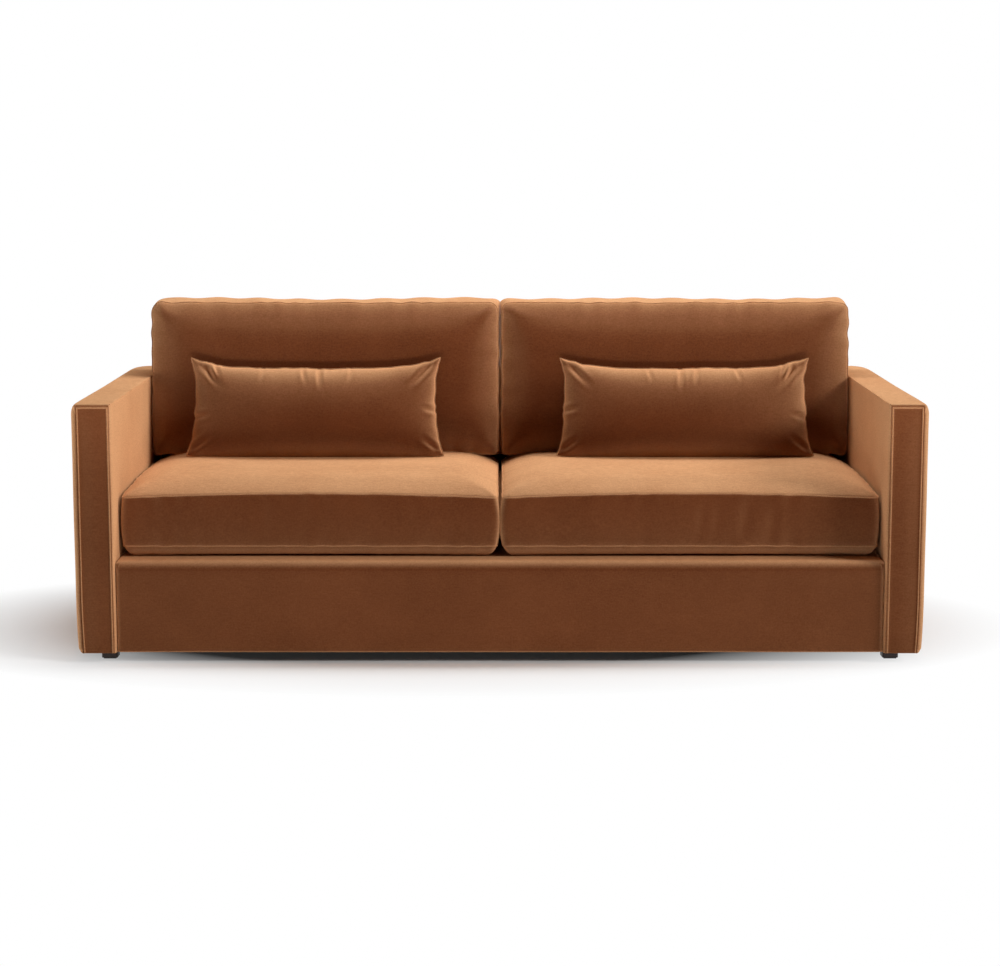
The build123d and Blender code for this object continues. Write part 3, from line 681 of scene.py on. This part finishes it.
def border_of(across, along):
    """Grid places round the border of a panel, in order."""
    border = [(i, 0) for i in range(across)]
    border += [(across, j) for j in range(along)]
    border += [(i, along) for i in range(across, 0, -1)]
    return border + [(0, j) for j in range(along, 0, -1)]


def boxed_cushion(width, depth, boxing, corners, pulls, puff, bow, under, upper, cell):
    """Points, quads, and the under and upper seam loops of a boxed cushion, under seam at z = 0."""
    half = np.array((width / 2, depth / 2))
    edge, levels = 0.045, 9
    xs = graded(-half[0], half[0], edge, edge, cell)
    ys = graded(-half[1], half[1], edge, edge, cell)
    zs = list(np.linspace(0, boxing, levels))
    points, quads, places = block_mesh(xs, ys, zs)
    last = [len(planes) - 1 for planes in (xs, ys, zs)]
    grid = np.array(sorted(places, key=places.get))
    from_x = half[0] - np.abs(points[:, 0])
    from_y = half[1] - np.abs(points[:, 1])
    for place, way, rises in ((0, -1, under), (last[2], 1, upper)):
        face = grid[:, 2] == place
        points[face, 2] += way * dome(from_x, from_y, rises)[face]
    for x_way in (-1, 1):
        for y_way, corner in zip((-1, 1), corners):
            roll_edge(points, (0, x_way * half[0], x_way), (1, y_way * half[1], y_way), corner)
    x_share, y_share = points[:, 0] / half[0], points[:, 1] / half[1]
    bowed = np.maximum((1 - x_share**2) * y_share**4, (1 - y_share**2) * x_share**4)
    points[:, 2] += bow * bowed * np.clip(points[:, 2] / boxing, 0, 1)
    points[:, 0] -= pulls[0] * x_share * (1 - y_share**2)
    points[:, 1] -= pulls[1] * y_share * (1 - x_share**2)
    boxed = puff * (np.sin(np.pi * grid[:, 2] / last[2]) - 1)
    side = (grid[:, 2] > 0) & (grid[:, 2] < last[2])
    draw = np.where(side, boxed, -puff)
    points[:, 0] += x_share * draw
    points[:, 1] += y_share * draw
    border = border_of(last[0], last[1])
    loops = [[places[(i, j, level)] for i, j in border] for level in (0, last[2])]
    return points, quads, loops


def stuffed(points, quads, held, pressure, reach, frames=20, flat=None):
    """The shape after its filling swells it, with the seams held and each point within reach."""
    piece = add_piece("stuffing", points, quads, velvet)
    seams = piece.vertex_groups.new(name="seams")
    seams.add(held, 1.0, "REPLACE")
    cloth = piece.modifiers.new("cloth", "CLOTH")
    settings = cloth.settings
    settings.vertex_group_mass = "seams"
    settings.use_pressure = True
    settings.uniform_pressure_force = pressure
    settings.quality = 5
    settings.tension_stiffness = settings.compression_stiffness = 40
    settings.bending_stiffness = 1
    settings.effector_weights.gravity = 0
    if flat is not None:
        piece.shape_key_add(name="stuffed")
        cut = piece.shape_key_add(name="flat")
        cut.data.foreach_set("co", flat.ravel())
        settings.rest_shape_key = cut
    cloth.point_cache.frame_start = 1
    cloth.point_cache.frame_end = frames
    for frame_number in range(1, frames + 1):
        bpy.context.scene.frame_set(frame_number)
    swollen = np.array([vertex.co for vertex in evaluated(piece).data.vertices])
    bpy.context.scene.frame_set(1)
    mesh = piece.data
    bpy.data.objects.remove(piece)
    bpy.data.meshes.remove(mesh)
    move = swollen - points
    length = np.maximum(np.linalg.norm(move, axis=1), 1e-9)
    return points + move * (reach * np.tanh(length / reach) / length)[:, None]


def refined(points, quads, loops):
    """One subdivision that keeps the seams sharp: points, quads, normals and the seam loops."""
    piece = add_piece("refining", points, quads, velvet)
    mesh = piece.data
    sewn = set()
    for loop in loops:
        sewn.update(frozenset(pair) for pair in zip(loop, loop[1:] + loop[:1]))
    sharp = mesh.attributes.new("crease_edge", "FLOAT", "EDGE")
    for edge in mesh.edges:
        sharp.data[edge.index].value = float(frozenset(edge.vertices) in sewn)
    for number, loop in enumerate(loops):
        marked = np.zeros(len(points))
        marked[loop] = 1
        mark = mesh.attributes.new(f"seam_{number}", "FLOAT", "POINT")
        mark.data.foreach_set("value", marked)
    finer = piece.modifiers.new("finer", "SUBSURF")
    finer.levels = 1
    shaped = evaluated(piece).data
    fine = np.array([vertex.co for vertex in shaped.vertices])
    normals = np.array([vertex.normal for vertex in shaped.vertices])
    fine_quads = [list(face.vertices) for face in shaped.polygons]
    fine_loops = []
    for number in range(len(loops)):
        marked = np.zeros(len(fine))
        shaped.attributes[f"seam_{number}"].data.foreach_get("value", marked)
        ring = np.nonzero(marked > 0.999)[0]
        turn = np.arctan2(fine[ring, 1], fine[ring, 0])
        fine_loops.append(list(ring[np.argsort(turn)]))
    bpy.data.objects.remove(piece)
    bpy.data.meshes.remove(mesh)
    return fine, fine_quads, normals, fine_loops


def meeting(points, side, half_width, boxing, give):
    """Let the boxing on a cushion's inner side swell by give towards its neighbour, and lie flat
    where the two meet."""
    to_neighbour = 0.0009
    inward = -side * points[:, 0]
    swell = np.sin(np.pi * np.clip(points[:, 2] / boxing, 0, 1))
    inward = inward + give * swell * np.clip(inward / half_width, 0, 1) ** 8
    points[:, 0] = -side * np.minimum(inward, half_width + to_neighbour)


def pucker(points, normals, loops, height, fade, seed):
    """The points with gathers that fade out from the seams and a crease along each seam, and
    the gathered seam lines."""
    finder = KDTree(sum(len(loop) for loop in loops))
    travel = []
    for loop in loops:
        line = points[loop]
        steps = np.linalg.norm(line - np.roll(line, 1, axis=0), axis=1)
        for point, distance in zip(line, np.cumsum(steps)):
            finder.insert(point, len(travel))
            travel.append(distance + seed)
    finder.balance()
    found = [finder.find(point)[1:] for point in points]
    along = np.array([travel[index] for index, distance in found])
    away = np.array([distance for index, distance in found])
    gathers = 0
    for wave, swing, start in ((0.053, 0.37, 2.2), (0.089, 0.53, 1.3), (0.19, 0.97, 0.4)):
        swell = 0.5 + 0.5 * np.sin(2 * np.pi * along / swing + 2 * start)
        gathers = gathers + swell * np.sin(2 * np.pi * along / wave + start) / 2
    gathered = points + normals * (height * gathers * np.exp(-away / fade))[:, None]
    crease_depth, crease_width = 0.001, 0.003
    crease = crease_depth * np.exp(-((away / crease_width) ** 2))
    return gathered - normals * crease[:, None], [gathered[loop] for loop in loops]


seat_boxing, seat_drop, seat_give = 0.126, 0.028, 0.004
seat_form = {
    "boxing": seat_boxing,
    "corners": (0.016, 0.026),
    "pulls": (0.002, 0.003),
    "puff": 0.004,
    "bow": 0.011,
    "under": ((seat_drop, 0.024, 0.024, 0.5),),
    "upper": ((0.006, 0.03, 0.03, 0.5), (0.014, 0.07, 0.08, 1), (0.015, 0.2, 0.2, 1)),
    "cell": 0.02,
}
cushion_pressure, seat_swell = 3.0, 0.006
seat_gathers, seat_fade = 0.0018, 0.03
ridge_radius = 0.0016
ridge_shifts = np.array(((0, 0, 0.001), (0, 0, -0.001)))
# Slack in the front of each boxing: place across from its middle, width and depth, and its slant
slack_left = ((-0.12, 0.016, 0.0014), (0.25, 0.014, 0.0012))
slack_right = (
    (0.03, 0.013, 0.002),
    (0.068, 0.011, 0.0016),
    (0.14, 0.014, 0.0024),
    (0.21, 0.012, 0.002),
)
slack_slant = 0.1
for side_name, side in SIDES:
    low, high = reach_of(f"seat_cushion_cover_{side_name}")
    points, quads, loops = boxed_cushion(high[0] - low[0], high[1] - low[1], **seat_form)
    points = stuffed(points, quads, loops[0] + loops[1], cushion_pressure, seat_swell)
    points, quads, normals, loops = refined(points, quads, loops)
    points, seam_lines = pucker(points, normals, loops, seat_gathers, seat_fade, side)
    meeting(points, side, (high[0] - low[0]) / 2, seat_boxing, seat_give)
    in_front = np.clip(-points[:, 1] / (high[1] - low[1]) * 2, 0, 1) ** 12
    in_front *= np.sin(np.pi * np.clip(points[:, 2] / seat_boxing, 0, 1))
    for middle, width, depth in slack_right if side > 0 else slack_left:
        across = (points[:, 0] - middle - slack_slant * (points[:, 2] - seat_boxing / 2)) / width
        points[:, 1] += depth * in_front * np.exp(-(across**2))
    points[:, 2] = np.maximum(points[:, 2], -seat_drop)
    stand = np.array(((low[0] + high[0]) / 2, (low[1] + high[1]) / 2, low[2] + seat_drop))
    cushion = add_piece(f"seat_cushion_{side_name}", points + stand, quads, velvet)
    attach(cushion, f"seat_cushion_{side_name}")
    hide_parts(f"seat_cushion_cover_{side_name}", f"seat_cushion_core_{side_name}")
    ridge_lines = [line + stand + shift for line, shift in zip(seam_lines, ridge_shifts)]
    ridges = seam_ridges(f"seat_cushion_seams_{side_name}", ridge_lines, ridge_radius)
    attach(ridges, f"seat_cushion_{side_name}")


# Back cushions
# Fibre filling in a zipped velvet cover of two panels and a boxing strip, softer than the seats.
# They stand on the seat cushions and lean on the inside back.
back_height, back_boxing, back_drop, back_puff = 0.438, 0.190, 0.010, 0.005
back_form = {
    "boxing": back_boxing,
    "corners": (0.018, 0.026),
    "pulls": (-0.0006, 0.002),
    "puff": back_puff,
    "bow": 0.0,
    "under": ((back_drop, 0.04, 0.04, 0.5),),
    "upper": ((0.006, 0.03, 0.03, 0.5), (0.014, 0.08, 0.08, 1), (0.017, 0.2, 0.2, 1)),
    "cell": 0.018,
}
back_swell, back_give = 0.004, 0.008
back_gathers, back_fade = 0.0032, 0.035
top_seam_drop, top_bulge, top_lumps, lump_waves = 0.019, 0.009, 0.004, (0.045, 0.031)
side_sag = 0.016
fill_middle = 0.100


def leaning(angle):
    """Rows that turn a cushion's own across, up and outward axes by its lean."""
    sine, cosine = math.sin(angle), math.cos(angle)
    return np.array(((1, 0, 0), (0, sine, cosine), (0, -cosine, sine)))


turn = leaning(back_lean)
for side_name, side in SIDES:
    low, high = reach_of(f"back_cushion_cover_{side_name}")
    points, quads, loops = boxed_cushion(high[0] - low[0], back_height, **back_form)
    points = stuffed(points, quads, loops[0] + loops[1], cushion_pressure, back_swell)
    high_share = np.clip(points[:, 1] / back_height + 0.5, 0, 1)
    boxed = np.sin(np.pi * np.clip(points[:, 2] / back_boxing, 0, 1))
    lumps = np.sin(points[:, 0] / lump_waves[0] + side) * np.sin(points[:, 0] / lump_waves[1] + 2)
    bulge = top_bulge + top_lumps * lumps
    points[:, 1] += bulge * boxed * high_share**8 - top_seam_drop * high_share
    low_share = 1 - high_share
    x_share = np.clip(np.abs(points[:, 0]) / (high[0] - low[0]) * 2, 0, 1)
    points[:, 1] -= (back_puff * (1 - boxed) + side_sag * x_share**6) * low_share**8
    points, quads, normals, loops = refined(points, quads, loops)
    points, seam_lines = pucker(points, normals, loops, back_gathers, back_fade, side * 2)
    meeting(points, side, (high[0] - low[0]) / 2, back_boxing, back_give)
    points[:, 2] = np.maximum(points[:, 2], -back_drop)
    stand = sum(reach_of(f"back_cushion_fill_{side_name}")) / 2
    stand -= turn[2] * (fill_middle - back_drop)
    cushion = add_piece(f"back_cushion_{side_name}", points @ turn + stand, quads, velvet)
    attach(cushion, f"back_cushion_{side_name}")
    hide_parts(f"back_cushion_cover_{side_name}", f"back_cushion_fill_{side_name}")
    ridge_lines = [(line + shift) @ turn + stand for line, shift in zip(seam_lines, ridge_shifts)]
    ridges = seam_ridges(f"back_cushion_seams_{side_name}", ridge_lines, ridge_radius)
    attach(ridges, f"back_cushion_{side_name}")


# Lumbar pillows
# A soft insert in a knife-edged velvet cover: two panels sewn edge to edge, whose corners stand out
# as points. They stand on the seat and lean on the back cushions.
pillow_width, pillow_height, pillow_thickness = 0.713, 0.279, 0.112
pillow_narrowing, pillow_top_drop, pillow_side_draw = 0.010, 0.034, 0.022
pillow_cut = (0.722, 0.302)
cut_gap = 0.001
pillow_foot = 0.1365
pillow_lumps, corner_blunting = 0.002, 0.016
pillow_start, pillow_pressure, pillow_swell = 0.8, 6.0, 0.03
pillow_gathers, pillow_fade, pillow_seam_radius = 0.0012, 0.03, 0.0012
pillow_cell = 0.0075
pillow_lean = math.radians(14)


def pillow_panels(seed):
    """Two panels that share their border: stuffed and flat points, quads, and that border."""
    across = round(pillow_width / pillow_cell)
    up = round(pillow_height / pillow_cell)
    shaped, flat, quads, places = [], [], [], {}

    def place_of(i, j, way):
        return i, j, 0 if i in (0, across) or j in (0, up) else way

    for way in (1, -1):
        for i in range(across + 1):
            for j in range(up + 1):
                key = place_of(i, j, way)
                if key in places:
                    continue
                places[key] = len(shaped)
                u, v = 2 * i / across - 1, 2 * j / up - 1
                notch = math.sin(9 * v + seed) * math.sin(5 * v + 2 * seed)
                half = pillow_width / 2 - pillow_narrowing * (v + 1) / 2
                half -= pillow_side_draw * (1 - v**4) + pillow_lumps * notch * (1 - v**2)
                sag = math.sin(11 * u + seed) * math.sin(4 * u + 3 * seed)
                drop = pillow_top_drop * (1 - abs(u) ** 5) + pillow_lumps * sag * (1 - u**2)
                rise = (v + 1) / 2 * (pillow_height - drop) - pillow_foot
                swell = pillow_start * pillow_thickness / 2 * ((1 - u**2) * (1 - v**2)) ** 0.5
                blunt = 1 - corner_blunting * abs(u * v) ** 20
                shaped.append((u * half * blunt, rise * blunt**2, key[2] * swell))
                flat.append((u * pillow_cut[0] / 2, v * pillow_cut[1] / 2, key[2] * cut_gap))
        for i in range(across):
            for j in range(up):
                ring = [
                    places[place_of(i + step_i, j + step_j, way)]
                    for step_i, step_j in ((0, 0), (1, 0), (1, 1), (0, 1))
                ]
                quads.append(ring if way > 0 else ring[::-1])
    border = [places[(i, j, 0)] for i, j in border_of(across, up)]
    return np.array(shaped), np.array(flat), quads, border


def folded(points, normals, folds):
    """Press folds into a pillow. Each has its start at the seam, its way in degrees, its length,
    its width and its depth."""
    lip_height, lip_place = 0.55, 1.7  # of the valley's depth and width
    full = 27 / 4  # brings the highest along * (1 - along) ** 2 to 1
    depth_here = 0
    for start, way, length, width, depth in folds:
        ahead = np.array((math.cos(math.radians(way)), math.sin(math.radians(way))))
        from_start = points[:, :2] - start
        along = np.clip(from_start @ ahead / length, 0, 1)
        across = np.abs(from_start @ (-ahead[1], ahead[0])) / width
        valley = np.exp(-(across**2)) - lip_height * np.exp(-((across - lip_place) ** 2))
        depth_here = depth_here + depth * valley * full * along * (1 - along) ** 2
    return points - normals * depth_here[:, None]


# Folds of the right-hand pillow, as start across and up from its middle, way, length, width, depth
pillow_folds = [
    ((-0.325, 0.128), -48, 0.11, 0.009, 0.006),
    ((0.325, 0.128), 228, 0.12, 0.009, 0.006),
    ((0.30, 0.122), 246, 0.07, 0.007, 0.005),
    ((0.275, 0.118), 252, 0.055, 0.006, 0.004),
    ((-0.10, 0.110), -80, 0.05, 0.006, 0.0028),
    ((-0.01, 0.110), -94, 0.075, 0.007, 0.0042),
    ((0.035, 0.110), -101, 0.06, 0.006, 0.0034),
    ((0.14, 0.111), -75, 0.05, 0.006, 0.0028),
    ((-0.335, -0.01), 8, 0.05, 0.007, 0.0035),
    ((0.335, -0.03), 170, 0.055, 0.007, 0.0035),
    ((-0.34, -0.12), 35, 0.07, 0.008, 0.004),
    ((0.34, -0.12), 145, 0.08, 0.008, 0.004),
]
turn = leaning(pillow_lean)
for side_name, side in SIDES:
    points, flat, quads, border = pillow_panels(1.5 + side)
    points = stuffed(
        points, quads, border, pillow_pressure, pillow_swell, frames=24, flat=flat
    )
    points[:, 2] *= pillow_thickness / 2 / np.abs(points[:, 2]).max()
    points, quads, normals, loops = refined(points, quads, [border])
    folds = [
        ((side * x, y), way if side > 0 else 180 - way, *size)
        for (x, y), way, *size in pillow_folds
    ]
    points = folded(points, normals, folds)
    points, seam_lines = pucker(points, normals, loops, pillow_gathers, pillow_fade, 3 + side)
    stand = sum(reach_of(f"lumbar_insert_{side_name}")) / 2
    pillow = add_piece(f"lumbar_pillow_{side_name}", points @ turn + stand, quads, velvet)
    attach(pillow, f"lumbar_pillow_{side_name}")
    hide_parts(f"lumbar_cover_{side_name}", f"lumbar_insert_{side_name}")
    ridge_lines = [line @ turn + stand for line in seam_lines]
    ridges = seam_ridges(f"lumbar_pillow_seam_{side_name}", ridge_lines, pillow_seam_radius)
    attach(ridges, f"lumbar_pillow_{side_name}")


# Stage
# A white floor that keeps the sofa's shadow, a white surround, and soft studio light: a large lamp
# above, a key lamp from the upper right, two weak ones from the left, and two low ones in front for
# the light that a white floor throws up.
def seen_directly(strand):
    """1 for a ray from the camera, straight or by way of gloss or glass, and 0 for other light."""
    seen = strand.node("ShaderNodeLightPath", output="Is Camera Ray")
    return seen + seen.beside("Is Glossy Ray") + seen.beside("Is Transmission Ray")


scene = bpy.context.scene
scene.view_settings.view_transform = "Standard"
floor_paint, strand, surface = new_finish(
    "white_floor",
    {"Base Color": (0.93, 0.93, 0.93, 1), "Roughness": 1.0, "Specular IOR Level": 0.0},
)
floor_size = 14.0
corners = [(x * floor_size, y * floor_size, 0) for x, y in ((-1, -1), (1, -1), (1, 1), (-1, 1))]
floor = add_piece("floor", corners, [(0, 1, 2, 3)], floor_paint)
# The shadow's oval on the floor: its shift and scale, and where its fade to white starts and ends
shadow_shift, shadow_scale = (0.12, 0, 0), (0.9, 1.6, 1.0)
fade_start, fade_end = 0.85, 1.4
sockets = {"Vector": strand.place(), "Location": shadow_shift, "Scale": shadow_scale}
oval = strand.node("ShaderNodeMapping", sockets)
far = strand.node("ShaderNodeVectorMath", {0: oval}, {"operation": "LENGTH"}, output="Value")
sockets = {"Value": far, "From Min": fade_start, "From Max": fade_end}
away = strand.node("ShaderNodeMapRange", sockets)
white = strand.node("ShaderNodeEmission", {"Color": (1, 1, 1, 1)})
painted = Strand(strand.tree, surface.outputs["BSDF"])
sockets = {0: seen_directly(strand) * away, 1: painted, 2: white}
both = strand.node("ShaderNodeMixShader", sockets)
both.feed(strand.tree.nodes["Material Output"], "Surface")

world = bpy.data.worlds.new("surround")
scene.world = world
world.use_nodes = True
strand = Strand(world.node_tree)
backdrop = world.node_tree.nodes["Background"]
fill_level = 0.025
(seen_directly(strand) * (1 - fill_level) + fill_level).feed(backdrop, "Strength")
backdrop.inputs["Color"].default_value = (1, 1, 1, 1)


def soft_lamp(name, place, target, width, height, power, spread=180):
    """A soft box that looks at a point, with its beam's spread in degrees."""
    lamp = bpy.data.lights.new(name, "AREA")
    lamp.shape = "RECTANGLE"
    lamp.size, lamp.size_y = width, height
    lamp.energy = power
    lamp.spread = math.radians(spread)
    box = placed(name, lamp)
    box.location = place
    box.rotation_euler = (Vector(target) - Vector(place)).to_track_quat("-Z", "Y").to_euler()


soft_lamp("overhead_lamp", (0.15, 0.6, 3.3), (0, -0.1, 0.4), 2.7, 1.0, 74)
soft_lamp("key_lamp", (13.6, -6.4, 8.4), (-0.1, 0, 0.4), 5.0, 4.5, 1560)
soft_lamp("left_lamp", (-4.0, 0.5, 1.4), (0, 0.1, 0.5), 0.8, 1.2, 5)
soft_lamp("rim_lamp", (-3.4, 0.1, 0.35), (-1.07, -0.2, 0.35), 0.8, 0.5, 24)
soft_lamp("low_lamp", (0, -1.75, 0.12), (0, -0.4, 0.3), 3.0, 0.2, 5.2)
soft_lamp("back_lamp", (0, -1.95, 0.2), (0, 0.14, 0.98), 2.4, 0.34, 1.9, spread=24)

# The camera's place in front of the arms and above their tops, and its tilt from straight down
camera_distance, camera_rise, camera_tilt = 5.8146, 0.6562, 81.648
camera_data = bpy.data.cameras.new("camera")
camera_data.lens = 84.6
camera = placed("camera", camera_data)
camera.location = (0, front - camera_distance, top + camera_rise)
camera.rotation_euler = (math.radians(camera_tilt), 0, 0)
scene.camera = camera
